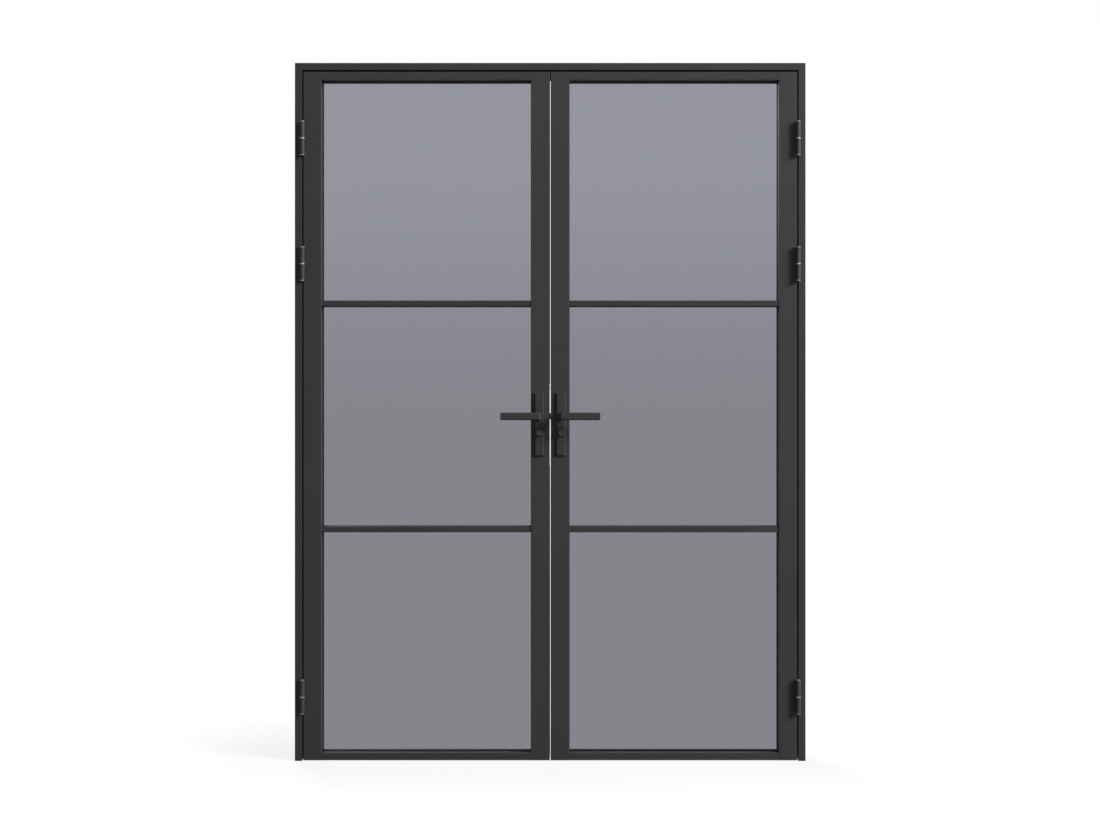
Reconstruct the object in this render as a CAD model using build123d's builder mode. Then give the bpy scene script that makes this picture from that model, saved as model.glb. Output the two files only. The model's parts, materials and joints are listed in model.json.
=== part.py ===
from build123d import *
import os

# Glass double door: two glazed leaves hung in a three-sided frame, in millimetres.
# The origin is on the floor at the middle of the door. The front, where the hinge barrels
# stand proud, faces -Y, and +Z points up. Pieces of the right leaf are drawn at +X, and the
# left leaf repeats them mirrored.

# Frame: overall size and section
door_width = 1500
door_height = 2050
frame_face = 21
frame_wall = 2
frame_edge_radius = 1
stop_depth = 18
stop_reach = 15
stop_gap = 4
frame_seal_width = 8
frame_seal_inset = 3
frame_seal_radius = 1.2
seal_clearance = 0.3

# Frame: holes for wall anchors
anchor_radius = 3.5
outer_anchor_spacing = 1300
inner_anchor_spacing = 500
anchor_middle_z = 1000
head_anchor_spacing = 750

# Leaves: gaps around them and their hollow sections
jamb_gap = 4
head_gap = 5
floor_gap = 2
meeting_gap = 2.5
leaf_depth = 50
leaf_wall = 2
leaf_edge_radius = 1
hinge_stile_width = 53
meeting_stile_width = 55
top_rail_height = 24
bottom_rail_height = 21.5
cap_thickness = 6
cap_clearance = 0.25
bottom_seal_width = 10
bottom_seal_height = 1.5
meeting_seal_y = 7
meeting_seal_width = 2
meeting_seal_tip = 0.6
meeting_seal_reach = 1
meeting_seal_end_gap = 3

# Glazing
row_names = ["lower", "middle", "upper"]
muntin_height = 17
muntin_depth = 46
muntin_edge_radius = 2
groove_width = 14
rail_groove_depth = 11
muntin_groove_depth = 7
groove_end_gap = 0.5
glass_thickness = 8
gasket_edge = 1.5
gasket_lip = 1
gasket_chamfer = 0.5

# Hinges
lower_hinge_z = 190
second_hinge_drop = 591
top_hinge_drop = 223
hinge_height = 102
barrel_radius = 7
barrel_face_gap = 0.5
barrel_chamfer = 0.5
washer_height = 3
washer_radius = 7.2
pin_radius = 4
pin_clearance = 0.05
pin_head_radius = 7.2
pin_head_height = 3.5
pin_head_chamfer = 1
pin_head_gap = 0.8
wing_thickness = 3
wing_reach = 30
wing_corner_radius = 5

# Handle set: backplates, levers and spindle
spindle_z = 1012
spindle_cover = 9.25
spindle_size = 8
spindle_hole_radius = 7
plate_width = 27.5
plate_height = 185
plate_thickness = 7
plate_chamfer = 2.5
plate_drop = 23.5
lever_height = 22
lever_thickness = 9
lever_reach = 113
lever_projection = 48
lever_bend_radius = 8
lever_inner_radius = 2
lever_chamfer = 3
lever_clearance = 0.3
neck_thickness = 11
collar_radius = 13
collar_height = 6
socket_depth = 15
socket_clearance = 0.1

# Lock cylinders and thumb-turns
cylinder_drop = 47.5
cylinder_radius = 8.5
cylinder_tail_radius = 5
cylinder_tail_drop = 19.5
cylinder_proud = 1
cylinder_clearance = 0.4
keyway_width = 1.6
keyway_height = 9
keyway_depth = 8
knob_radius = 10.5
knob_rim = 5
knob_depth = 12
knob_face_radius = 9
flute_count = 8
flute_radius = 3
flute_depth = 1.2
pointer_width = 1.5
pointer_length = 7
pointer_depth = 1
shaft_radius = 3
shaft_length = 18
shaft_clearance = 0.3

# Lock cases, bolts and keeps
case_height = 170
case_thickness = 15
case_clearance = 2
forend_width = 24
forend_height = 235
forend_clearance = 0.25
follower_radius = 6
bolt_clearance = 0.3
keep_clearance = 1
latch_height = 18.5
latch_thickness = 12
latch_throw = 11
latch_tail = 11.5
latch_nose_flat = 3
deadbolt_height = 26
deadbolt_thickness = 10
deadbolt_throw = 12
deadbolt_tail = 20
deadbolt_chamfer = 1.5
rod_radius = 5
rod_inset = 20.75
rod_tail = 20
rod_end_gap = 1
rod_chamfer = 1.5

# Planes and lines that the frame and the leaves share
jamb_outer_x = door_width / 2
jamb_face_x = jamb_outer_x - frame_face
stop_face_x = jamb_face_x - stop_reach
head_face_z = door_height - frame_face
stop_face_z = head_face_z - stop_reach
leaf_front_y = -leaf_depth / 2
leaf_back_y = leaf_depth / 2
stop_front_y = leaf_back_y + stop_gap
frame_back_y = stop_front_y + stop_depth
anchor_y = (leaf_front_y + stop_front_y) / 2
leaf_inner_x = meeting_gap / 2
leaf_outer_x = jamb_face_x - jamb_gap
leaf_bottom_z = floor_gap
leaf_top_z = head_face_z - head_gap
leaf_height = leaf_top_z - leaf_bottom_z
opening_inner_x = leaf_inner_x + meeting_stile_width
opening_outer_x = leaf_outer_x - hinge_stile_width
opening_width = opening_outer_x - opening_inner_x
opening_mid_x = (opening_inner_x + opening_outer_x) / 2
opening_bottom_z = leaf_bottom_z + bottom_rail_height
opening_top_z = leaf_top_z - top_rail_height
last_row = len(row_names) - 1
pane_height = (opening_top_z - opening_bottom_z - last_row * muntin_height) / len(row_names)
rail_bite = rail_groove_depth - groove_end_gap - gasket_edge
muntin_bite = muntin_groove_depth - groove_end_gap - gasket_edge

# Hinge axis and heights
hinge_x = (jamb_face_x + leaf_outer_x) / 2
hinge_y = leaf_front_y - barrel_face_gap - barrel_radius
hinge_heights = [lower_hinge_z, door_height - second_hinge_drop, door_height - top_hinge_drop]
pin_half = hinge_height / 2
knuckle_end = pin_half - pin_head_height - pin_head_gap
knuckle_height = knuckle_end - washer_height / 2
bore_radius = pin_radius + pin_clearance
wing_root_y = hinge_y + (bore_radius + barrel_radius) / 2
wing_back_y = leaf_front_y + wing_reach
wing_height = knuckle_height - barrel_chamfer

# Lock and handle places, inside the meeting stile
chamber_depth = meeting_stile_width - rail_groove_depth - 2 * leaf_wall
case_depth = chamber_depth - case_clearance
case_back_x = leaf_inner_x + leaf_wall + case_depth
spindle_x = case_back_x - spindle_cover
cylinder_z = spindle_z - cylinder_drop
case_z = (spindle_z + cylinder_z) / 2
case_top_z = case_z + case_height / 2
case_bottom_z = case_z - case_height / 2
plate_face_y = leaf_back_y + plate_thickness
cylinder_face_y = plate_face_y + cylinder_proud
cylinder_front_y = leaf_back_y - cylinder_clearance
rod_x = leaf_inner_x + rod_inset

os.makedirs("parts", exist_ok=True)


def save(piece, name):
    """Label one finished piece and write its file."""
    piece.label = name
    export_step(piece, f"parts/{name}.step")


def save_pair(piece, name):
    """Save a piece of the right side, and its mirror image for the left side."""
    with BuildPart() as twin:
        mirror(piece, about=Plane.YZ)
    save(piece, f"right_{name}")
    save(twin.part, f"left_{name}")


# Section of the frame, measured inwards from its outer face: a hollow with a stop behind the leaf
with BuildSketch() as frame_section:
    with BuildLine():
        Polyline(
            (0, leaf_front_y),
            (frame_face, leaf_front_y),
            (frame_face, stop_front_y),
            (frame_face + stop_reach, stop_front_y),
            (frame_face + stop_reach, frame_back_y),
            (0, frame_back_y),
            close=True,
        )
    make_face()
    fillet(frame_section.vertices().group_by(Axis.Y)[0], frame_edge_radius)
    with Locations((frame_wall, leaf_front_y + frame_wall)):
        Rectangle(
            frame_face - 2 * frame_wall,
            stop_front_y - leaf_front_y - frame_wall,
            align=Align.MIN,
            mode=Mode.SUBTRACT,
        )
    with Locations((frame_wall, stop_front_y + frame_wall)):
        Rectangle(
            frame_face + stop_reach - 2 * frame_wall,
            stop_depth - 2 * frame_wall,
            align=Align.MIN,
            mode=Mode.SUBTRACT,
        )

# Mitre between the right jamb and the head
mitre = Plane(origin=(jamb_outer_x, 0, door_height), z_dir=(1, 0, -1))
left_mitre = Plane(origin=(-jamb_outer_x, 0, door_height), z_dir=(-1, 0, -1))

# Jambs, with holes for the wall anchors through both walls
with BuildPart() as jamb:
    with BuildSketch(Plane((jamb_outer_x, 0, door_height), x_dir=(-1, 0, 0), z_dir=(0, 0, -1))):
        add(frame_section.sketch)
    extrude(amount=door_height)
    split(bisect_by=mitre, keep=Keep.TOP)
    with BuildSketch(Plane.YZ.offset(jamb_face_x)):
        for spacing in (outer_anchor_spacing, inner_anchor_spacing):
            with Locations(
                (anchor_y, anchor_middle_z - spacing / 2),
                (anchor_y, anchor_middle_z + spacing / 2),
            ):
                Circle(anchor_radius)
    extrude(amount=frame_face, mode=Mode.SUBTRACT)
save_pair(jamb.part, "jamb")

# Head, with anchor holes and a keep for the right leaf's top bolt
with BuildPart() as head:
    with BuildSketch(Plane((-jamb_outer_x, 0, door_height), x_dir=(0, 0, -1), z_dir=(1, 0, 0))):
        add(frame_section.sketch)
    extrude(amount=door_width)
    split(bisect_by=mitre, keep=Keep.BOTTOM)
    split(bisect_by=left_mitre, keep=Keep.BOTTOM)
    with BuildSketch(Plane.XY.offset(head_face_z)):
        with Locations((-head_anchor_spacing / 2, anchor_y), (head_anchor_spacing / 2, anchor_y)):
            Circle(anchor_radius)
    extrude(amount=frame_face, mode=Mode.SUBTRACT)
    with BuildSketch(Plane.XY.offset(head_face_z)):
        with Locations((rod_x, 0)):
            Circle(rod_radius + keep_clearance)
    extrude(amount=frame_wall, mode=Mode.SUBTRACT)
save(head.part, "head")

# Frame seal, one strip up, across and down the front of the stop
with BuildPart() as frame_seal:
    with BuildSketch(Plane.XZ.offset(-stop_front_y)):
        with Locations((0, leaf_bottom_z)):
            Rectangle(
                2 * (stop_face_x + frame_seal_inset + frame_seal_width),
                stop_face_z + frame_seal_inset + frame_seal_width - leaf_bottom_z,
                align=(Align.CENTER, Align.MIN),
            )
            Rectangle(
                2 * (stop_face_x + frame_seal_inset),
                stop_face_z + frame_seal_inset - leaf_bottom_z,
                align=(Align.CENTER, Align.MIN),
                mode=Mode.SUBTRACT,
            )
    extrude(amount=stop_gap - seal_clearance)
    fillet(frame_seal.faces().sort_by(Axis.Y)[0].edges(), frame_seal_radius)
save(frame_seal.part, "frame_seal")


def leaf_section(face_width):
    """Hollow section of a stile or rail, with the glazing groove on its inner side."""
    with BuildSketch() as section:
        with Locations((face_width / 2, 0)):
            Rectangle(face_width, leaf_depth)
        fillet(section.vertices(), leaf_edge_radius)
        with Locations((face_width / 2, 0)):
            Rectangle(
                face_width - 2 * leaf_wall,
                leaf_depth - 2 * leaf_wall,
                mode=Mode.SUBTRACT,
            )
        with Locations((face_width, 0)):
            Rectangle(
                rail_groove_depth + leaf_wall,
                groove_width + 2 * leaf_wall,
                align=(Align.MAX, Align.CENTER),
            )
            Rectangle(
                rail_groove_depth,
                groove_width,
                align=(Align.MAX, Align.CENTER),
                mode=Mode.SUBTRACT,
            )
    return section.sketch


def cap_section(stile_width):
    """Plug that fills the hollow of a stile, with a small clearance all round."""
    with BuildSketch() as section:
        with Locations((stile_width / 2, 0)):
            Rectangle(
                stile_width - 2 * (leaf_wall + cap_clearance),
                leaf_depth - 2 * (leaf_wall + cap_clearance),
            )
        with Locations((stile_width, 0)):
            Rectangle(
                rail_groove_depth + leaf_wall + cap_clearance,
                groove_width + 2 * (leaf_wall + cap_clearance),
                align=(Align.MAX, Align.CENTER),
                mode=Mode.SUBTRACT,
            )
    return section.sketch


def euro_profile(center_x, center_z, clearance):
    """Outline of a lock cylinder, round above with a narrow tail below."""
    tail_width = 2 * (cylinder_tail_radius + clearance)
    with Locations((center_x, center_z)):
        Circle(cylinder_radius + clearance)
    with Locations((center_x, center_z - cylinder_tail_drop / 2)):
        Rectangle(tail_width, cylinder_tail_drop)
    with Locations((center_x, center_z - cylinder_tail_drop)):
        Circle(cylinder_tail_radius + clearance)


# Planes across the stiles' ends, with the section's first axis running in from the outer edge
meeting_foot = Plane((leaf_inner_x, 0, leaf_bottom_z), x_dir=(1, 0, 0), z_dir=(0, 0, 1))
meeting_top = Plane((leaf_inner_x, 0, leaf_top_z - cap_thickness), x_dir=(1, 0, 0), z_dir=(0, 0, 1))
hinge_top = Plane((leaf_outer_x, 0, leaf_top_z), x_dir=(-1, 0, 0), z_dir=(0, 0, -1))
hinge_foot = Plane(
    (leaf_outer_x, 0, leaf_bottom_z + cap_thickness), x_dir=(-1, 0, 0), z_dir=(0, 0, -1)
)

# Hinge stile
with BuildPart() as hinge_stile:
    with BuildSketch(hinge_top):
        add(leaf_section(hinge_stile_width))
    extrude(amount=leaf_height)
save_pair(hinge_stile.part, "hinge_stile")

# Meeting stile, cut for the lock's forend, the spindle and the cylinder
with BuildPart() as meeting_stile:
    with BuildSketch(meeting_foot):
        add(leaf_section(meeting_stile_width))
    extrude(amount=leaf_height)
    with BuildSketch(Plane.YZ.offset(leaf_inner_x)):
        with Locations((0, case_z)):
            Rectangle(forend_width + 2 * forend_clearance, forend_height + 2 * forend_clearance)
    extrude(amount=leaf_wall, mode=Mode.SUBTRACT)
    with BuildSketch(Plane.XZ):
        with Locations((spindle_x, spindle_z)):
            Circle(spindle_hole_radius)
        euro_profile(spindle_x, cylinder_z, cylinder_clearance)
    extrude(amount=leaf_depth, both=True, mode=Mode.SUBTRACT)
save_pair(meeting_stile.part, "meeting_stile")

# Plugs in the open ends of the stiles, bored on the right leaf for its two bolt rods
for side in ("right", "left"):
    with BuildPart() as stile_caps:
        for end_plane in (meeting_foot, meeting_top):
            with BuildSketch(end_plane):
                add(cap_section(meeting_stile_width))
            extrude(amount=cap_thickness)
        for end_plane in (hinge_top, hinge_foot):
            with BuildSketch(end_plane):
                add(cap_section(hinge_stile_width))
            extrude(amount=cap_thickness)
        if side == "right":
            with BuildSketch(Plane.XY):
                with Locations((rod_x, 0)):
                    Circle(rod_radius + bolt_clearance)
            extrude(amount=door_height, mode=Mode.SUBTRACT)
        else:
            mirror(about=Plane.YZ, mode=Mode.REPLACE)
    save(stile_caps.part, f"{side}_stile_caps")

# Rails, butted between the stiles
rail_planes = {
    "bottom": Plane((opening_inner_x, 0, leaf_bottom_z), x_dir=(0, 0, 1), z_dir=(-1, 0, 0)),
    "top": Plane((opening_inner_x, 0, leaf_top_z), x_dir=(0, 0, -1), z_dir=(1, 0, 0)),
}
rail_directions = {"bottom": -1, "top": 1}
rail_heights = {"bottom": bottom_rail_height, "top": top_rail_height}
for end, plane in rail_planes.items():
    with BuildPart() as rail:
        with BuildSketch(plane):
            add(leaf_section(rail_heights[end]))
        extrude(amount=rail_directions[end] * opening_width)
    save_pair(rail.part, f"{end}_rail")

# Seal strip under the bottom rail
with BuildPart() as bottom_seal:
    with BuildSketch(Plane.XY.offset(leaf_bottom_z)):
        with Locations((opening_mid_x, 0)):
            Rectangle(opening_width, bottom_seal_width)
    extrude(amount=-bottom_seal_height)
save_pair(bottom_seal.part, "bottom_seal")

# Seal lip on the left leaf's meeting edge, below and above the lock's forend
seal_spans = [
    (leaf_bottom_z + meeting_seal_end_gap, case_z - forend_height / 2 - meeting_seal_end_gap),
    (case_z + forend_height / 2 + meeting_seal_end_gap, leaf_top_z - meeting_seal_end_gap),
]
with BuildPart() as meeting_seal:
    for seal_low_z, seal_high_z in seal_spans:
        with BuildSketch(Plane.XY.offset(seal_low_z)):
            with BuildLine():
                Polyline(
                    (-leaf_inner_x, meeting_seal_y - meeting_seal_width / 2),
                    (-leaf_inner_x + meeting_seal_reach, meeting_seal_y - meeting_seal_tip / 2),
                    (-leaf_inner_x + meeting_seal_reach, meeting_seal_y + meeting_seal_tip / 2),
                    (-leaf_inner_x, meeting_seal_y + meeting_seal_width / 2),
                    close=True,
                )
            make_face()
        extrude(amount=seal_high_z - seal_low_z)
save(meeting_seal.part, "left_meeting_seal")

# Muntins, with a groove above and below for the panes
muntin_levels = {
    "lower": opening_bottom_z + pane_height,
    "upper": opening_top_z - pane_height - muntin_height,
}
for level, muntin_z in muntin_levels.items():
    with BuildPart() as muntin:
        with BuildSketch(Plane.YZ.offset(opening_inner_x)) as muntin_section:
            with Locations((0, muntin_z)):
                Rectangle(muntin_depth, muntin_height, align=(Align.CENTER, Align.MIN))
            fillet(muntin_section.vertices(), muntin_edge_radius)
            with Locations((0, muntin_z), (0, muntin_z + muntin_height - muntin_groove_depth)):
                Rectangle(
                    groove_width,
                    muntin_groove_depth,
                    align=(Align.CENTER, Align.MIN),
                    mode=Mode.SUBTRACT,
                )
        extrude(amount=opening_width)
    save_pair(muntin.part, f"{level}_muntin")

# Panes, each wrapped round its edge by a channel gasket that sits in the grooves
glass_width = opening_width + 2 * rail_bite
for row, row_name in enumerate(row_names):
    day_bottom_z = opening_bottom_z + row * (pane_height + muntin_height)
    day_mid_z = day_bottom_z + pane_height / 2
    bottom_bite = rail_bite if row == 0 else muntin_bite
    top_bite = rail_bite if row == last_row else muntin_bite
    glass_height = pane_height + bottom_bite + top_bite
    glass_mid_z = day_mid_z + (top_bite - bottom_bite) / 2

    with BuildPart() as glass:
        with BuildSketch(Plane.XZ):
            with Locations((opening_mid_x, glass_mid_z)):
                Rectangle(glass_width, glass_height)
        extrude(amount=glass_thickness / 2, both=True)
    save_pair(glass.part, f"{row_name}_glass")

    with BuildPart() as gasket:
        with BuildSketch(Plane.XZ):
            with Locations((opening_mid_x, glass_mid_z)):
                Rectangle(glass_width + 2 * gasket_edge, glass_height + 2 * gasket_edge)
            with Locations((opening_mid_x, day_mid_z)):
                Rectangle(
                    opening_width - 2 * gasket_lip,
                    pane_height - 2 * gasket_lip,
                    mode=Mode.SUBTRACT,
                )
        extrude(amount=groove_width / 2, both=True)
        gasket_faces = gasket.faces().filter_by(Axis.Y)
        chamfer([face.inner_wires()[0].edges() for face in gasket_faces], gasket_chamfer)
        with BuildSketch(Plane.XZ):
            with Locations((opening_mid_x, glass_mid_z)):
                Rectangle(glass_width, glass_height)
        extrude(amount=glass_thickness / 2, both=True, mode=Mode.SUBTRACT)
    save_pair(gasket.part, f"{row_name}_gasket")


def add_knuckle(end_z, upwards, wing_x):
    """Half of a hinge: a bored barrel, and a wing in the gap behind it."""
    rise = 1 if upwards else -1
    plane = Plane((hinge_x, hinge_y, end_z), x_dir=(1, 0, 0), z_dir=(0, -rise, 0))
    with BuildSketch(plane) as barrel_profile:
        with BuildLine():
            Polyline(
                (bore_radius, 0),
                (barrel_radius - barrel_chamfer, 0),
                (barrel_radius, barrel_chamfer),
                (barrel_radius, knuckle_height),
                (bore_radius, knuckle_height),
                close=True,
            )
        make_face()
    revolve(barrel_profile.sketch, axis=Axis((hinge_x, hinge_y, end_z), (0, 0, 1)))
    wing_low_z = end_z + barrel_chamfer if upwards else end_z - knuckle_height
    wing_plane = Plane.YZ.offset(wing_x)
    with BuildSketch(wing_plane) as wing_outline:
        with Locations((wing_root_y, wing_low_z)):
            Rectangle(wing_back_y - wing_root_y, wing_height, align=Align.MIN)
        fillet(wing_outline.vertices().group_by(Axis.X)[-1], wing_corner_radius)
    extrude(wing_outline.sketch, amount=wing_thickness)


# Hinge halves on the frame, below, and on the leaf, above
with BuildPart() as frame_knuckles:
    for hinge_z in hinge_heights:
        add_knuckle(hinge_z - knuckle_end, True, jamb_face_x - wing_thickness)
save_pair(frame_knuckles.part, "frame_knuckles")

with BuildPart() as leaf_knuckles:
    for hinge_z in hinge_heights:
        add_knuckle(hinge_z + knuckle_end, False, leaf_outer_x)
save_pair(leaf_knuckles.part, "leaf_knuckles")

# Hinge pins with a head at each end, and the washers that carry the leaves on the frame
with BuildPart() as hinge_pins:
    for pin_x in (-hinge_x, hinge_x):
        for hinge_z in hinge_heights:
            plane = Plane((pin_x, hinge_y, hinge_z), x_dir=(1, 0, 0), z_dir=(0, -1, 0))
            with BuildSketch(plane):
                with BuildLine():
                    upper_half = Polyline(
                        (pin_radius, 0),
                        (pin_radius, pin_half - pin_head_height),
                        (pin_head_radius, pin_half - pin_head_height),
                        (pin_head_radius, pin_half - pin_head_chamfer),
                        (pin_head_radius - pin_head_chamfer, pin_half),
                        (0, pin_half),
                    )
                    mirror(upper_half, about=Plane.XZ)
                    Line((0, pin_half), (0, -pin_half))
                make_face()
            revolve(axis=Axis((pin_x, hinge_y, hinge_z), (0, 0, 1)))
save(hinge_pins.part, "hinge_pins")

with BuildPart() as hinge_washers:
    for pin_x in (-hinge_x, hinge_x):
        for hinge_z in hinge_heights:
            with Locations((pin_x, hinge_y, hinge_z)):
                Cylinder(washer_radius, washer_height)
                Cylinder(bore_radius, washer_height, mode=Mode.SUBTRACT)
save(hinge_washers.part, "hinge_washers")


def add_backplate():
    """Backplate on the front face, with a chamfered outer rim and a hole for the spindle."""
    with BuildSketch(Plane.XZ.offset(leaf_back_y)) as outline:
        with Locations((spindle_x, spindle_z - plate_drop)):
            Rectangle(plate_width, plate_height)
    extrude(outline.sketch, amount=plate_thickness)
    chamfer(faces().sort_by(Axis.Y)[0].edges(), plate_chamfer)
    with BuildSketch(Plane.XZ.offset(leaf_back_y)) as hole:
        with Locations((spindle_x, spindle_z)):
            Circle(spindle_hole_radius)
    extrude(hole.sketch, amount=plate_thickness, mode=Mode.SUBTRACT)


# Backplates: the front one is bored for the thumb-turn's shaft, the back one cut for the cylinder
with BuildPart() as front_backplate:
    add_backplate()
    with BuildSketch(Plane.XZ.offset(leaf_back_y)):
        with Locations((spindle_x, cylinder_z)):
            Circle(shaft_radius + shaft_clearance)
    extrude(amount=plate_thickness, mode=Mode.SUBTRACT)
save_pair(front_backplate.part, "front_backplate")

with BuildPart() as back_backplate:
    add_backplate()
    with BuildSketch(Plane.XZ.offset(leaf_back_y)):
        euro_profile(spindle_x, cylinder_z, cylinder_clearance)
    extrude(amount=plate_thickness, mode=Mode.SUBTRACT)
    mirror(about=Plane.XZ, mode=Mode.REPLACE)
save_pair(back_backplate.part, "back_backplate")

# Levers: a flat bar bent round into a neck, on a round collar with a square socket
lever_root_y = -plate_face_y - lever_clearance
lever_front_y = -plate_face_y - lever_projection
lever_back_y = lever_front_y + lever_thickness
neck_inner_x = spindle_x - neck_thickness / 2
neck_outer_x = spindle_x + neck_thickness / 2
lever_end_x = spindle_x + lever_reach
with BuildPart() as lever:
    with BuildSketch(Plane.XY.offset(spindle_z)) as lever_plan:
        with BuildLine():
            Polyline(
                (neck_inner_x, lever_root_y - collar_height / 2),
                (neck_inner_x, lever_front_y),
                (lever_end_x, lever_front_y),
                (lever_end_x, lever_back_y),
                (neck_outer_x, lever_back_y),
                (neck_outer_x, lever_root_y - collar_height / 2),
                close=True,
            )
        make_face()
        bend_corner = lever_plan.vertices().group_by(Axis.Y)[0].sort_by(Axis.X)[0]
        fillet(bend_corner, lever_bend_radius)
        inner_corner = lever_plan.vertices().group_by(Axis.Y)[-2].sort_by(Axis.X)[0]
        fillet(inner_corner, lever_inner_radius)
    extrude(amount=lever_height / 2, both=True)
    chamfer(lever.faces().filter_by(Axis.Z).edges(), lever_chamfer)
    with BuildSketch(Plane.XZ.offset(-lever_root_y)):
        with Locations((spindle_x, spindle_z)):
            Circle(collar_radius)
    extrude(amount=collar_height)
    with BuildSketch(Plane.XZ.offset(-lever_root_y)):
        with Locations((spindle_x, spindle_z)):
            Rectangle(spindle_size + 2 * socket_clearance, spindle_size + 2 * socket_clearance)
    extrude(amount=socket_depth, mode=Mode.SUBTRACT)
save_pair(lever.part, "front_lever")

with BuildPart() as back_lever:
    mirror(lever.part, about=Plane.XZ)
save_pair(back_lever.part, "back_lever")

# Square spindle, from socket to socket
with BuildPart() as spindle:
    with BuildSketch(Plane.XZ):
        with Locations((spindle_x, spindle_z)):
            Rectangle(spindle_size, spindle_size)
    extrude(amount=socket_depth - lever_root_y, both=True)
save_pair(spindle.part, "spindle")

# Lock cylinders, with a bore for the thumb-turn behind the front plate and a keyway at the back
with BuildPart() as cylinder:
    with BuildSketch(Plane.XZ.offset(cylinder_front_y)):
        euro_profile(spindle_x, cylinder_z, 0)
    extrude(amount=-(cylinder_front_y + cylinder_face_y))
    with BuildSketch(Plane.XZ.offset(cylinder_front_y)):
        with Locations((spindle_x, cylinder_z)):
            Circle(shaft_radius + shaft_clearance)
    extrude(amount=-(shaft_length - plate_thickness), mode=Mode.SUBTRACT)
    with BuildSketch(Plane.XZ.offset(-cylinder_face_y)):
        with Locations((spindle_x, cylinder_z)):
            Rectangle(keyway_width, keyway_height)
    extrude(amount=keyway_depth, mode=Mode.SUBTRACT)
save_pair(cylinder.part, "cylinder")

# Thumb-turns: a tapered knob with flutes and a pointer, on a shaft that enters the cylinder
knob_root_y = -plate_face_y - shaft_clearance
knob_plane = Plane((spindle_x, knob_root_y, cylinder_z), x_dir=(1, 0, 0), z_dir=(0, 0, -1))
with BuildPart() as thumb_turn:
    with BuildSketch(knob_plane):
        with BuildLine():
            Polyline(
                (0, 0),
                (knob_radius, 0),
                (knob_radius, knob_rim),
                (knob_face_radius, knob_depth),
                (0, knob_depth),
                close=True,
            )
        make_face()
    revolve(axis=Axis((spindle_x, knob_root_y, cylinder_z), (0, 1, 0)))
    with BuildSketch(Plane.XZ.offset(-knob_root_y)):
        with Locations((spindle_x, cylinder_z)):
            with PolarLocations(knob_radius + flute_radius - flute_depth, flute_count):
                Circle(flute_radius)
    extrude(amount=knob_depth, mode=Mode.SUBTRACT)
    with BuildSketch(Plane.XZ.offset(knob_depth - knob_root_y)):
        with Locations((spindle_x, cylinder_z)):
            Rectangle(pointer_width, pointer_length, align=(Align.CENTER, Align.MIN))
    extrude(amount=-pointer_depth, mode=Mode.SUBTRACT)
    with BuildSketch(Plane.XZ.offset(-knob_root_y)):
        with Locations((spindle_x, cylinder_z)):
            Circle(shaft_radius)
    extrude(amount=-shaft_length)
save_pair(thumb_turn.part, "thumb_turn")


def add_lock_body():
    """Lock case behind a forend that lies flush in the stile's edge, bored for the spindle."""
    with BuildSketch(Plane.YZ.offset(leaf_inner_x)) as forend:
        with Locations((0, case_z)):
            Rectangle(forend_width, forend_height)
    extrude(forend.sketch, amount=leaf_wall)
    with BuildSketch(Plane.YZ.offset(leaf_inner_x + leaf_wall)) as body:
        with Locations((0, case_z)):
            Rectangle(case_thickness, case_height)
    extrude(body.sketch, amount=case_depth)
    with BuildSketch(Plane.XZ) as bores:
        with Locations((spindle_x, spindle_z)):
            Circle(follower_radius)
        euro_profile(spindle_x, cylinder_z, cylinder_clearance)
    extrude(bores.sketch, amount=case_thickness, both=True, mode=Mode.SUBTRACT)


def cut_pocket(center_z, width, height, depth):
    """Pocket for a bolt, sunk through the forend into the lock case."""
    with BuildSketch(Plane.YZ.offset(leaf_inner_x)) as pocket:
        with Locations((0, center_z)):
            Rectangle(width, height)
    extrude(pocket.sketch, amount=depth, mode=Mode.SUBTRACT)


# Lock case of the left leaf, with the latch and the deadbolt in their pockets
with BuildPart() as left_lock_case:
    add_lock_body()
    cut_pocket(
        spindle_z,
        latch_thickness + 2 * bolt_clearance,
        latch_height + 2 * bolt_clearance,
        latch_tail + latch_throw + bolt_clearance,
    )
    cut_pocket(
        cylinder_z,
        deadbolt_thickness + 2 * bolt_clearance,
        deadbolt_height + 2 * bolt_clearance,
        deadbolt_tail + bolt_clearance,
    )
    mirror(about=Plane.YZ, mode=Mode.REPLACE)
save(left_lock_case.part, "left_lock_case")

# Lock case of the right leaf, with keeps for those bolts and bores for the two bolt rods
with BuildPart() as right_lock_case:
    add_lock_body()
    cut_pocket(
        spindle_z,
        latch_thickness + 2 * keep_clearance,
        latch_height + 2 * keep_clearance,
        latch_throw - meeting_gap + keep_clearance,
    )
    cut_pocket(
        cylinder_z,
        deadbolt_thickness + 2 * keep_clearance,
        deadbolt_height + 2 * keep_clearance,
        deadbolt_throw - meeting_gap + keep_clearance,
    )
    for end_z in (case_bottom_z, case_top_z - rod_tail):
        with BuildSketch(Plane.XY.offset(end_z)) as rod_bore:
            with Locations((rod_x, 0)):
                Circle(rod_radius + bolt_clearance)
        extrude(amount=rod_tail, mode=Mode.SUBTRACT)
save(right_lock_case.part, "right_lock_case")

# Latch bolt of the left leaf, shot across the gap into its keep, bevelled on the closing side
with BuildPart() as latch_bolt:
    with BuildSketch(Plane.XY.offset(spindle_z)):
        with BuildLine():
            Polyline(
                (-leaf_inner_x - latch_tail, -latch_thickness / 2),
                (-leaf_inner_x + latch_throw, -latch_thickness / 2),
                (-leaf_inner_x + latch_throw, -latch_thickness / 2 + latch_nose_flat),
                (-leaf_inner_x, latch_thickness / 2),
                (-leaf_inner_x - latch_tail, latch_thickness / 2),
                close=True,
            )
        make_face()
    extrude(amount=latch_height / 2, both=True)
save(latch_bolt.part, "latch_bolt")

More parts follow.
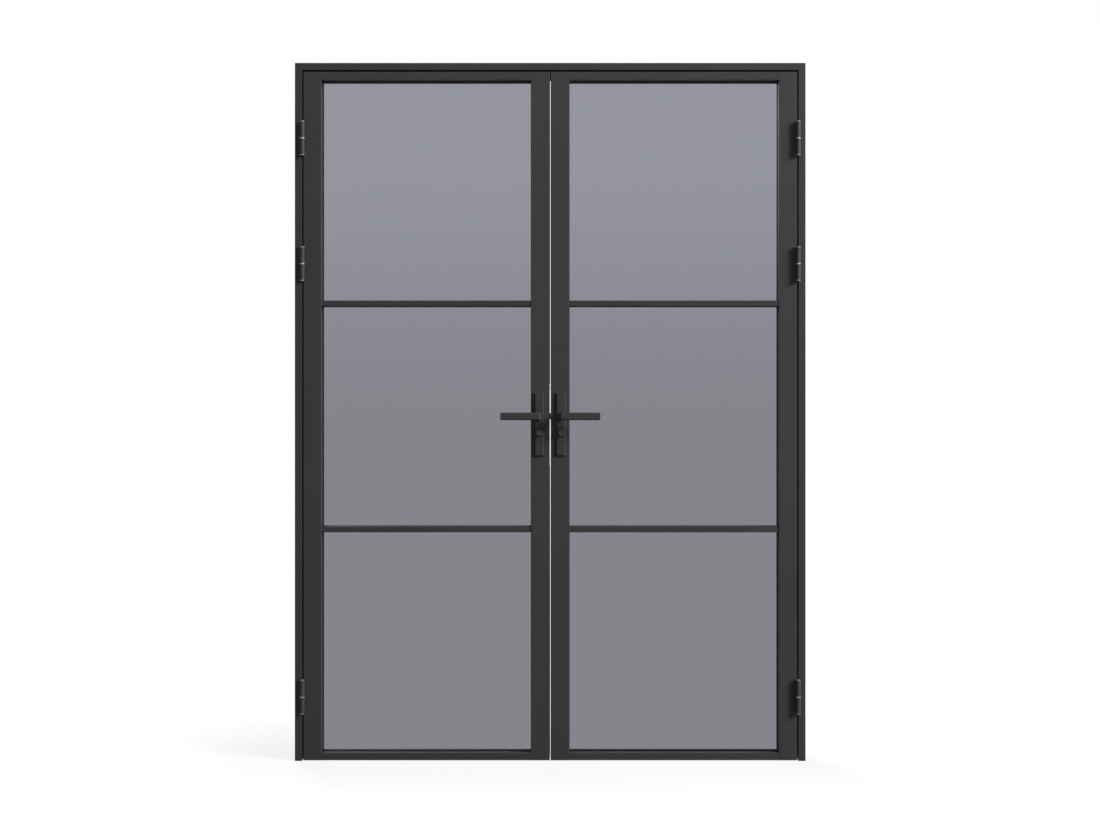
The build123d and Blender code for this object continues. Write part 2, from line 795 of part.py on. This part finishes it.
# Deadbolt of the left leaf, drawn back flush with its forend
with BuildPart() as deadbolt:
    with BuildSketch(Plane.YZ.offset(-leaf_inner_x)):
        with Locations((0, cylinder_z)):
            Rectangle(deadbolt_thickness, deadbolt_height)
    extrude(amount=-deadbolt_tail)
    chamfer(deadbolt.faces().sort_by(Axis.X)[-1].edges(), deadbolt_chamfer)
save(deadbolt.part, "deadbolt")

# Bolt rods of the right leaf, drawn back inside its stile
rod_spans = {
    "top_shootbolt": (case_top_z - rod_tail + bolt_clearance, leaf_top_z - rod_end_gap),
    "bottom_shootbolt": (leaf_bottom_z + rod_end_gap, case_bottom_z + rod_tail - bolt_clearance),
}
for rod_name, (low_z, high_z) in rod_spans.items():
    with BuildPart() as rod:
        with BuildSketch(Plane.XY.offset(low_z)):
            with Locations((rod_x, 0)):
                Circle(rod_radius)
        extrude(amount=high_z - low_z)
        chamfer(rod.edges().filter_by(GeomType.CIRCLE), rod_chamfer)
    save(rod.part, rod_name)
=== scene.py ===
import json
import math

import bpy
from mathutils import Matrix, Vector


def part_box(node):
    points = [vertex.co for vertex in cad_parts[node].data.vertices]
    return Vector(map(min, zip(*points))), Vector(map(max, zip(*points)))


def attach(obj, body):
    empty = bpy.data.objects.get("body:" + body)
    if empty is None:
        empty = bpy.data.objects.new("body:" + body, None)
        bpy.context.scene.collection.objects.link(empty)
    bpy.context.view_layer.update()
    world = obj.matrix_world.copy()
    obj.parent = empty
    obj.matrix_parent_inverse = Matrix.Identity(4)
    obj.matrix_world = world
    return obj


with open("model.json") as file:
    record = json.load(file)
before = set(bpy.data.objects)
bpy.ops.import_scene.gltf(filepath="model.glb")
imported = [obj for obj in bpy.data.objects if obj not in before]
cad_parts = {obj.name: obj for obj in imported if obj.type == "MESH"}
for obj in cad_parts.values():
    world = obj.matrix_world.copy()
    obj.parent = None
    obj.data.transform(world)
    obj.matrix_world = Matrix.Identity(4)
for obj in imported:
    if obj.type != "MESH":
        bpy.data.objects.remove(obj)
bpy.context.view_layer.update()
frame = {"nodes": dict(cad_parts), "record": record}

# Lengths are in metres unless a name says otherwise. The front of the door faces -Y.
MM = 0.001
SIDES = {"left": -1, "right": 1}

# Photograph: image size, where the door's centre falls in it, and how wide the door is there
IMAGE_WIDTH_PX = 1100
IMAGE_HEIGHT_PX = 824
DOOR_CENTER_PX = (550.2, 411.9)
DOOR_WIDTH_PX = 510.8
CAMERA_DISTANCE = 3.8
SENSOR_WIDTH_MM = 36

# Powder coats: linear colour, roughness from the smoothest patch to the roughest, and specular level
COATS = {
    "frame_coat": {"color": (0.033, 0.033, 0.034), "smoothest": 0.45, "roughest": 0.55, "specular": 0.1},
    "leaf_coat": {"color": (0.035, 0.035, 0.036), "smoothest": 0.45, "roughest": 0.55, "specular": 0.1},
    "hinge_coat": {"color": (0.036, 0.036, 0.037), "smoothest": 0.54, "roughest": 0.62, "specular": 0.12},
    "handle_coat": {"color": (0.0345, 0.0345, 0.0355), "smoothest": 0.44, "roughest": 0.52, "specular": 0.1},
    "satin_knob": {"color": (0.050, 0.050, 0.051), "smoothest": 0.28, "roughest": 0.36, "specular": 0.12},
}
COAT_CLOUD_SCALE = 3.0
COAT_GRAIN_SCALE = 1400.0
COAT_GRAIN_DETAIL = 2.0
COAT_DARK_SHARE = 0.95
COAT_PALE_SHARE = 1.05
COAT_BUMP = {"strength": 0.25, "distance": 0.12 * MM}
KNOB_FINISH = "satin_knob"
KNOB_NODES = [side + "_thumb_turn" for side in SIDES]

# Metals: linear colour, middle roughness, and how the fine lines are scaled along X, Y and Z
UPRIGHT_LINES = (1, 1, 0.03)
TURNED_LINES = (1, 1, 8)
METALS = {
    "bright_steel": {"color": (0.22, 0.22, 0.225), "roughness": 0.55, "stretch": TURNED_LINES},
    "pin_steel": {"color": (0.13, 0.13, 0.133), "roughness": 0.55, "stretch": TURNED_LINES},
    "lock_steel": {"color": (0.45, 0.45, 0.46), "roughness": 0.36, "stretch": UPRIGHT_LINES},
    "cylinder_metal": {"color": (0.10, 0.10, 0.102), "roughness": 0.36, "stretch": TURNED_LINES},
}
METAL_LINE_SCALE = 900.0
METAL_LINE_DETAIL = 5.0
METAL_STAIN_SCALE = 14.0
METAL_DARK_SHARE = 0.86
METAL_PALE_SHARE = 1.08
METAL_SMOOTHER_BY = 0.06
METAL_ROUGHER_BY = 0.10
METAL_BUMP = {"strength": 0.2, "distance": 0.03 * MM}

# Rubbers and moulded plastic: linear colour and middle roughness
RUBBERS = {
    "gasket_rubber": {"color": (0.010, 0.010, 0.0105), "roughness": 0.65},
    "seal_rubber": {"color": (0.014, 0.014, 0.015), "roughness": 0.75},
    "cap_plastic": {"color": (0.020, 0.020, 0.021), "roughness": 0.55},
}
RUBBER_BLOOM_SCALE = 25.0
RUBBER_SKIN_SCALE = 1800.0
RUBBER_SKIN_DETAIL = 2.0
RUBBER_PALE_SHARE = 1.4
RUBBER_ROUGHNESS_SPREAD = 0.08
RUBBER_SPECULAR = 0.1
RUBBER_BUMP = {"strength": 0.2, "distance": 0.08 * MM}

# Glass: tint at the top and at the foot, and the heights between which it changes; the darker foot is
# painted shade, not a change in the glass itself
GLASS_TOP = (0.274, 0.279, 0.320)
GLASS_FOOT_PAINTED_SHADE = (0.207, 0.211, 0.239)
GLASS_PALE_FROM = 0.95
GLASS_PALE_TO = 1.85
GLASS_IOR = 1.45
GLASS_FILM_SCALE = 2.2
GLASS_FILM_ROUGHNESS = 0.04

# Lamps and surroundings
LAMP_AIM = Vector((0.0, 0.0, 1.0))
LAMPS = {
    "key": {"place": Vector((8.24, -3.92, 5.4)), "size": 3.4, "power": 1930},
    "top": {"place": Vector((0.0, -2.5, 4.2)), "size": 2.0, "power": 22},
    "back": {"place": Vector((-4.5, 8.5, 5.4)), "size": 5.0, "power": 1300},
}
FILL_LIGHT = 0.03
FLOOR_SIZE = 60
FLOOR_COLOR = (0.25, 0.25, 0.25)
FLOOR_SHADOW_SHARE = 0.5
FLOOR_SHADOW_REACH = 1.2
FLOOR_LIFT = 1.6

# Screw heads and where they sit, and the rims of the key plugs
SCREW_SIDES = 24
SCREW_RIM_SHARE = 0.5
SCREW_TOP_SHARE = 0.8
SCREW_SOCKET_SHARE = 0.1
HINGE_SCREW = {"radius": 3.4 * MM, "height": 0.5 * MM, "socket": 1.7 * MM}
FOREND_SCREW = {"radius": 3.2 * MM, "height": 0.35 * MM, "socket": 1.6 * MM}
PLATE_SCREW = {"radius": 3.8 * MM, "height": 1.6 * MM, "socket": 2.0 * MM}
HINGE_HEIGHTS = (0.190, 1.459, 1.827)
JAMB_GAP = 4 * MM
WING_THICKNESS = 3 * MM
WING_MIDDLE = 23.85 * MM
WING_SCREW_Y = -9 * MM
WING_SCREW_SPREAD = 13 * MM
FOREND_SCREW_SPREAD = 108 * MM
PLATE_SCREW_SPREAD = 80 * MM
PLUG_Z = 0.9645
PLUG_RADIUS = 7.0 * MM
PLUG_INNER_RADIUS = 5.4 * MM
PLUG_HEIGHT = 0.3 * MM


def node_tree(material):
    """The empty node tree of a material, with its output."""
    material.use_nodes = True
    tree = material.node_tree
    tree.nodes.clear()
    return tree, tree.nodes.new("ShaderNodeOutputMaterial")


def add_noise(tree, scale, detail=4.0, stretch=(1, 1, 1)):
    """Noise in object space, with so many lumps per metre, drawn out along the axes with a low stretch."""
    coords = tree.nodes.new("ShaderNodeTexCoord")
    mapping = tree.nodes.new("ShaderNodeMapping")
    mapping.inputs["Scale"].default_value = stretch
    noise = tree.nodes.new("ShaderNodeTexNoise")
    noise.inputs["Scale"].default_value = scale
    noise.inputs["Detail"].default_value = detail
    tree.links.new(coords.outputs["Object"], mapping.inputs["Vector"])
    tree.links.new(mapping.outputs["Vector"], noise.inputs["Vector"])
    return noise.outputs["Fac"]


def add_range(tree, socket, low, high, start=0.0, end=1.0, smooth=False):
    """The socket's start to end, carried to low to high."""
    remap = tree.nodes.new("ShaderNodeMapRange")
    if smooth:
        remap.interpolation_type = "SMOOTHSTEP"
    remap.inputs["From Min"].default_value = start
    remap.inputs["From Max"].default_value = end
    remap.inputs["To Min"].default_value = low
    remap.inputs["To Max"].default_value = high
    tree.links.new(socket, remap.inputs["Value"])
    return remap.outputs["Result"]


def add_ramp(tree, socket, low_color, high_color, low_at=0.3, high_at=0.7):
    """A colour between two, by the socket's value."""
    ramp = tree.nodes.new("ShaderNodeValToRGB")
    ramp.color_ramp.elements[0].position = low_at
    ramp.color_ramp.elements[0].color = (*low_color, 1)
    ramp.color_ramp.elements[1].position = high_at
    ramp.color_ramp.elements[1].color = (*high_color, 1)
    tree.links.new(socket, ramp.inputs["Fac"])
    return ramp.outputs["Color"]


def add_bump(tree, socket, strength, distance):
    """A bump normal from the socket's height."""
    bump = tree.nodes.new("ShaderNodeBump")
    bump.inputs["Strength"].default_value = strength
    bump.inputs["Distance"].default_value = distance
    tree.links.new(socket, bump.inputs["Height"])
    return bump.outputs["Normal"]


def add_math(tree, operation, first, second=None, amount=None):
    """One step of arithmetic on sockets."""
    node = tree.nodes.new("ShaderNodeMath")
    node.operation = operation
    tree.links.new(first, node.inputs[0])
    if second is not None:
        tree.links.new(second, node.inputs[1])
    if amount is not None:
        node.inputs[1].default_value = amount
    return node.outputs["Value"]


def add_object_axes(tree):
    """The X, Y and Z of a point in object space."""
    coords = tree.nodes.new("ShaderNodeTexCoord")
    split = tree.nodes.new("ShaderNodeSeparateXYZ")
    tree.links.new(coords.outputs["Object"], split.inputs["Vector"])
    return split.outputs


def add_mix(tree, share, first, second):
    """A shader that goes from the first to the second by a share."""
    mix = tree.nodes.new("ShaderNodeMixShader")
    tree.links.new(share, mix.inputs["Fac"])
    tree.links.new(first, mix.inputs[1])
    tree.links.new(second, mix.inputs[2])
    return mix.outputs["Shader"]


def shade(color, share):
    """A colour made darker or lighter by a share."""
    return tuple(channel * share for channel in color)


def powder_coat(name, color, smoothest, roughest, specular):
    """Fine-textured powder coat: grainy orange peel, with soft clouds of colour and gloss."""
    material = bpy.data.materials.new(name)
    tree, output = node_tree(material)
    shader = tree.nodes.new("ShaderNodeBsdfPrincipled")
    clouds = add_noise(tree, COAT_CLOUD_SCALE)
    grain = add_noise(tree, COAT_GRAIN_SCALE, detail=COAT_GRAIN_DETAIL)
    tint = add_ramp(tree, clouds, shade(color, COAT_DARK_SHARE), shade(color, COAT_PALE_SHARE))
    tree.links.new(tint, shader.inputs["Base Color"])
    tree.links.new(add_range(tree, clouds, smoothest, roughest), shader.inputs["Roughness"])
    tree.links.new(add_bump(tree, grain, **COAT_BUMP), shader.inputs["Normal"])
    shader.inputs["Specular IOR Level"].default_value = specular
    tree.links.new(shader.outputs["BSDF"], output.inputs["Surface"])
    return material


def brushed_metal(name, color, roughness, stretch):
    """Metal with fine lines, brushed or turned, that run along the axes with the lowest stretch."""
    material = bpy.data.materials.new(name)
    tree, output = node_tree(material)
    shader = tree.nodes.new("ShaderNodeBsdfPrincipled")
    lines = add_noise(tree, METAL_LINE_SCALE, detail=METAL_LINE_DETAIL, stretch=stretch)
    stains = add_noise(tree, METAL_STAIN_SCALE)
    tint = add_ramp(tree, lines, shade(color, METAL_DARK_SHARE), shade(color, METAL_PALE_SHARE))
    tree.links.new(tint, shader.inputs["Base Color"])
    gloss = add_range(tree, stains, roughness - METAL_SMOOTHER_BY, roughness + METAL_ROUGHER_BY)
    tree.links.new(gloss, shader.inputs["Roughness"])
    tree.links.new(add_bump(tree, lines, **METAL_BUMP), shader.inputs["Normal"])
    shader.inputs["Metallic"].default_value = 1.0
    tree.links.new(shader.outputs["BSDF"], output.inputs["Surface"])
    return material


def soft_rubber(name, color, roughness):
    """Matt rubber or moulded plastic with a fine skin and a dusty bloom."""
    material = bpy.data.materials.new(name)
    tree, output = node_tree(material)
    shader = tree.nodes.new("ShaderNodeBsdfPrincipled")
    bloom = add_noise(tree, RUBBER_BLOOM_SCALE)
    skin = add_noise(tree, RUBBER_SKIN_SCALE, detail=RUBBER_SKIN_DETAIL)
    tint = add_ramp(tree, bloom, color, shade(color, RUBBER_PALE_SHARE))
    tree.links.new(tint, shader.inputs["Base Color"])
    smoothest = roughness - RUBBER_ROUGHNESS_SPREAD
    roughest = roughness + RUBBER_ROUGHNESS_SPREAD
    tree.links.new(add_range(tree, bloom, smoothest, roughest), shader.inputs["Roughness"])
    tree.links.new(add_bump(tree, skin, **RUBBER_BUMP), shader.inputs["Normal"])
    shader.inputs["Specular IOR Level"].default_value = RUBBER_SPECULAR
    tree.links.new(shader.outputs["BSDF"], output.inputs["Surface"])
    return material


def tinted_glass(name):
    """Clear grey glass whose tint darkens towards the foot as painted shade, and which lets the lamps' light
    through.
    """
    material = bpy.data.materials.new(name)
    tree, output = node_tree(material)
    shader = tree.nodes.new("ShaderNodeBsdfPrincipled")
    shader.inputs["Transmission Weight"].default_value = 1.0
    shader.inputs["IOR"].default_value = GLASS_IOR
    # Painted shade: the glass tint darkens from the top towards the foot by height
    height = add_object_axes(tree)["Z"]
    painted_shade_fade = add_range(tree, height, 0.0, 1.0, start=GLASS_PALE_FROM, end=GLASS_PALE_TO, smooth=True)
    tint = add_ramp(tree, painted_shade_fade, GLASS_FOOT_PAINTED_SHADE, GLASS_TOP, 0.0, 1.0)
    tree.links.new(tint, shader.inputs["Base Color"])
    film = add_noise(tree, GLASS_FILM_SCALE)
    tree.links.new(add_range(tree, film, 0.0, GLASS_FILM_ROUGHNESS), shader.inputs["Roughness"])

    path = tree.nodes.new("ShaderNodeLightPath")
    clear = tree.nodes.new("ShaderNodeBsdfTransparent")
    tree.links.new(tint, clear.inputs["Color"])
    mix = add_mix(tree, path.outputs["Is Shadow Ray"], shader.outputs["BSDF"], clear.outputs["BSDF"])
    tree.links.new(mix, output.inputs["Surface"])
    return material


def seen_rays(tree):
    """1 for rays that show the surroundings: straight to the camera, mirrored, or through glass."""
    path = tree.nodes.new("ShaderNodeLightPath")
    direct = path.outputs["Is Camera Ray"]
    mirrored = add_math(tree, "MAXIMUM", direct, path.outputs["Is Glossy Ray"])
    return add_math(tree, "MAXIMUM", mirrored, path.outputs["Is Transmission Ray"])


def add_overhang(tree, socket, low, high):
    """How far the socket's value lies outside a range."""
    offset = add_math(tree, "SUBTRACT", socket, amount=(low + high) / 2)
    reach = add_math(tree, "SUBTRACT", add_math(tree, "ABSOLUTE", offset), amount=(high - low) / 2)
    return add_math(tree, "MAXIMUM", reach, amount=0.0)


def distance_from_door(tree):
    """How far a point of the floor lies from the frame's footprint."""
    low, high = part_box("head")
    axes = add_object_axes(tree)
    flat = tree.nodes.new("ShaderNodeCombineXYZ")
    tree.links.new(add_overhang(tree, axes["X"], low.x, high.x), flat.inputs["X"])
    tree.links.new(add_overhang(tree, axes["Y"], low.y, high.y), flat.inputs["Y"])
    length = tree.nodes.new("ShaderNodeVectorMath")
    length.operation = "LENGTH"
    tree.links.new(flat.outputs["Vector"], length.inputs[0])
    return length.outputs["Value"]


def floor_finish():
    """Floor that reads as white and keeps the shadow near the door."""
    material = bpy.data.materials.new("studio_floor")
    tree, output = node_tree(material)
    matt = tree.nodes.new("ShaderNodeBsdfDiffuse")
    matt.inputs["Color"].default_value = (*FLOOR_COLOR, 1)
    glow = tree.nodes.new("ShaderNodeEmission")
    path = tree.nodes.new("ShaderNodeLightPath")
    distance = distance_from_door(tree)
    near = add_range(tree, distance, FLOOR_SHADOW_SHARE, 0.0, end=FLOOR_SHADOW_REACH, smooth=True)
    shadow_share = add_math(tree, "MULTIPLY", path.outputs["Is Camera Ray"], near)
    glow_share = add_math(tree, "SUBTRACT", seen_rays(tree), shadow_share)
    lift = add_range(tree, shadow_share, 1.0, FLOOR_LIFT, end=FLOOR_SHADOW_SHARE)
    tree.links.new(lift, glow.inputs["Strength"])
    mix = add_mix(tree, glow_share, matt.outputs["BSDF"], glow.outputs["Emission"])
    tree.links.new(mix, output.inputs["Surface"])
    return material


def add_world():
    """White surroundings, dim where they only light the door."""
    world = bpy.data.worlds.new("studio")
    bpy.context.scene.world = world
    world.use_nodes = True
    tree = world.node_tree
    background = tree.nodes["Background"]
    strength = add_range(tree, seen_rays(tree), FILL_LIGHT, 1.0)
    background.inputs["Color"].default_value = (1, 1, 1, 1)
    tree.links.new(strength, background.inputs["Strength"])


def add_floor():
    """Wide flat floor under the door."""
    half = FLOOR_SIZE / 2
    corners = [(-half, -half, 0), (half, -half, 0), (half, half, 0), (-half, half, 0)]
    mesh = bpy.data.meshes.new("floor")
    mesh.from_pydata(corners, [], [(0, 1, 2, 3)])
    mesh.materials.append(floor_finish())
    floor = bpy.data.objects.new("floor", mesh)
    bpy.context.scene.collection.objects.link(floor)


def add_lamp(name, place, size, power):
    """Square lamp that shines on the middle of the door."""
    lamp = bpy.data.lights.new(name, "AREA")
    lamp.size = size
    lamp.energy = power
    stand = bpy.data.objects.new(name, lamp)
    stand.location = place
    stand.rotation_euler = (LAMP_AIM - place).to_track_quat("-Z", "Y").to_euler()
    bpy.context.scene.collection.objects.link(stand)


def build_studio():
    """White surroundings, a floor, a key lamp on the right and lamps above and behind."""
    bpy.context.scene.view_settings.view_transform = "Standard"
    add_world()
    add_floor()
    for name, lamp in LAMPS.items():
        add_lamp(name, **lamp)


def place_camera():
    """Camera straight in front, where the door fills the same pixels as in the photograph."""
    low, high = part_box("head")
    metres_per_px = (high.x - low.x) / DOOR_WIDTH_PX
    data = bpy.data.cameras.new("camera")
    data.sensor_width = SENSOR_WIDTH_MM
    data.lens = SENSOR_WIDTH_MM * CAMERA_DISTANCE / (IMAGE_WIDTH_PX * metres_per_px)
    camera = bpy.data.objects.new("camera", data)
    camera.location = (
        (IMAGE_WIDTH_PX / 2 - DOOR_CENTER_PX[0]) * metres_per_px,
        low.y - CAMERA_DISTANCE,
        high.z / 2 + (DOOR_CENTER_PX[1] - IMAGE_HEIGHT_PX / 2) * metres_per_px,
    )
    camera.rotation_euler = (math.pi / 2, 0, 0)
    bpy.context.scene.collection.objects.link(camera)
    bpy.context.scene.camera = camera


def make_finishes():
    """One material for each slot of the record, and one for the thumb-turns."""
    finishes = {name: powder_coat(name, **look) for name, look in COATS.items()}
    finishes.update({name: brushed_metal(name, **look) for name, look in METALS.items()})
    finishes.update({name: soft_rubber(name, **look) for name, look in RUBBERS.items()})
    finishes["tinted_glass"] = tinted_glass("tinted_glass")
    return finishes


def dress_nodes(finishes):
    """Give each CAD node the finish of its slot; the thumb-turns have a smoother, paler one of their own."""
    for row in frame["record"]["subparts"]:
        finish = KNOB_FINISH if row["node"] in KNOB_NODES else row["material_slot"]
        mesh = frame["nodes"][row["node"]].data
        mesh.materials.clear()
        mesh.materials.append(finishes[finish])


def ring(center, axis, radii, height):
    """Points round an axis, at so many radii, lifted by a height along it."""
    across = axis.orthogonal().normalized()
    along = axis.cross(across)
    points = []
    for step, radius in enumerate(radii):
        angle = 2 * math.pi * step / len(radii)
        spoke = across * math.cos(angle) + along * math.sin(angle)
        points.append(center + axis * height + spoke * radius)
    return points


def hexagon_radii(reach):
    """Radii that draw a hexagon with as many points as a screw head has sides."""
    sixth = math.pi / 3
    radii = []
    for step in range(SCREW_SIDES):
        angle = (2 * math.pi * step / SCREW_SIDES + sixth / 2) % sixth - sixth / 2
        radii.append(reach / math.cos(angle))
    return radii


def add_rings(points, faces, rings, closed):
    """Join rings of points into a skin; a closed one ends in a flat face."""
    start = len(points)
    count = len(rings[0])
    for row in rings:
        points.extend(row)
    for level in range(len(rings) - 1):
        for step in range(count):
            here = start + level * count + step
            side = start + level * count + (step + 1) % count
            faces.append((here, side, side + count, here + count))
    if closed:
        last = start + (len(rings) - 1) * count
        faces.append(tuple(range(last, last + count)))


def add_screw(points, faces, place, axis, radius, height, socket):
    """Low domed screw head with a hexagon socket."""
    rim = [radius] * SCREW_SIDES
    top = [radius * SCREW_TOP_SHARE] * SCREW_SIDES
    hexagon = hexagon_radii(socket)
    rings = [
        ring(place, axis, rim, 0),
        ring(place, axis, rim, height * SCREW_RIM_SHARE),
        ring(place, axis, top, height),
        ring(place, axis, hexagon, height),
        ring(place, axis, hexagon, height * SCREW_SOCKET_SHARE),
    ]
    add_rings(points, faces, rings, closed=True)


def add_plug(points, faces, place, axis):
    """Raised rim of a cylinder's key plug."""
    outer = [PLUG_RADIUS] * SCREW_SIDES
    inner = [PLUG_INNER_RADIUS] * SCREW_SIDES
    rings = [
        ring(place, axis, outer, 0),
        ring(place, axis, outer, PLUG_HEIGHT),
        ring(place, axis, inner, PLUG_HEIGHT),
        ring(place, axis, inner, 0),
    ]
    add_rings(points, faces, rings, closed=False)


def make_piece(name, points, faces, body, slot, finishes):
    """A small fitting that rides on a body and wears a slot's finish."""
    mesh = bpy.data.meshes.new(name)
    mesh.from_pydata(points, [], faces)
    mesh.materials.append(finishes[slot])
    mesh.update()
    piece = bpy.data.objects.new(name, mesh)
    bpy.context.scene.collection.objects.link(piece)
    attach(piece, body)


def screw_hinges(side, sign, finishes):
    """Screws through a side's hinge wings: into the jamb below, into the leaf's edge above."""
    low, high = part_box(side + "_hinge_stile")
    edge_x = high.x if sign > 0 else low.x
    leaf_face_x = edge_x + sign * WING_THICKNESS
    frame_face_x = edge_x + sign * (JAMB_GAP - WING_THICKNESS)
    outward = Vector((sign, 0, 0))
    jamb_points, jamb_faces, leaf_points, leaf_faces = [], [], [], []
    for hinge_z in HINGE_HEIGHTS:
        for offset in (-WING_SCREW_SPREAD, WING_SCREW_SPREAD):
            place = Vector((frame_face_x, WING_SCREW_Y, hinge_z - WING_MIDDLE + offset))
            add_screw(jamb_points, jamb_faces, place, -outward, **HINGE_SCREW)
            place = Vector((leaf_face_x, WING_SCREW_Y, hinge_z + WING_MIDDLE + offset))
            add_screw(leaf_points, leaf_faces, place, outward, **HINGE_SCREW)
    make_piece(side + "_jamb_screws", jamb_points, jamb_faces, "frame", "hinge_coat", finishes)
    make_piece(side + "_wing_screws", leaf_points, leaf_faces, side + "_leaf", "hinge_coat", finishes)


def screw_forend(side, sign, finishes):
    """Screws at the ends of a lock's forend."""
    low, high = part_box(side + "_lock_case")
    forend_x = low.x if sign > 0 else high.x
    points, faces = [], []
    for offset in (-FOREND_SCREW_SPREAD, FOREND_SCREW_SPREAD):
        place = Vector((forend_x, 0, (low.z + high.z) / 2 + offset))
        add_screw(points, faces, place, Vector((-sign, 0, 0)), **FOREND_SCREW)
    make_piece(side + "_forend_screws", points, faces, side + "_leaf", "lock_steel", finishes)


def screw_back_plate(side, finishes):
    """Screws above and below the handle on a back plate."""
    low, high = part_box(side + "_back_backplate")
    points, faces = [], []
    for offset in (-PLATE_SCREW_SPREAD, PLATE_SCREW_SPREAD):
        place = Vector(((low.x + high.x) / 2, high.y, (low.z + high.z) / 2 + offset))
        add_screw(points, faces, place, Vector((0, 1, 0)), **PLATE_SCREW)
    make_piece(side + "_plate_screws", points, faces, side + "_leaf", "handle_coat", finishes)


def rim_key_plug(side, finishes):
    """Rim round the keyway at the back of a cylinder."""
    low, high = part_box(side + "_cylinder")
    points, faces = [], []
    place = Vector(((low.x + high.x) / 2, high.y, PLUG_Z))
    add_plug(points, faces, place, Vector((0, 1, 0)))
    make_piece(side + "_key_plug", points, faces, side + "_leaf", "cylinder_metal", finishes)


finishes = make_finishes()
dress_nodes(finishes)
for side, sign in SIDES.items():
    screw_hinges(side, sign, finishes)
    screw_forend(side, sign, finishes)
    screw_back_plate(side, finishes)
    rim_key_plug(side, finishes)
build_studio()
place_camera()
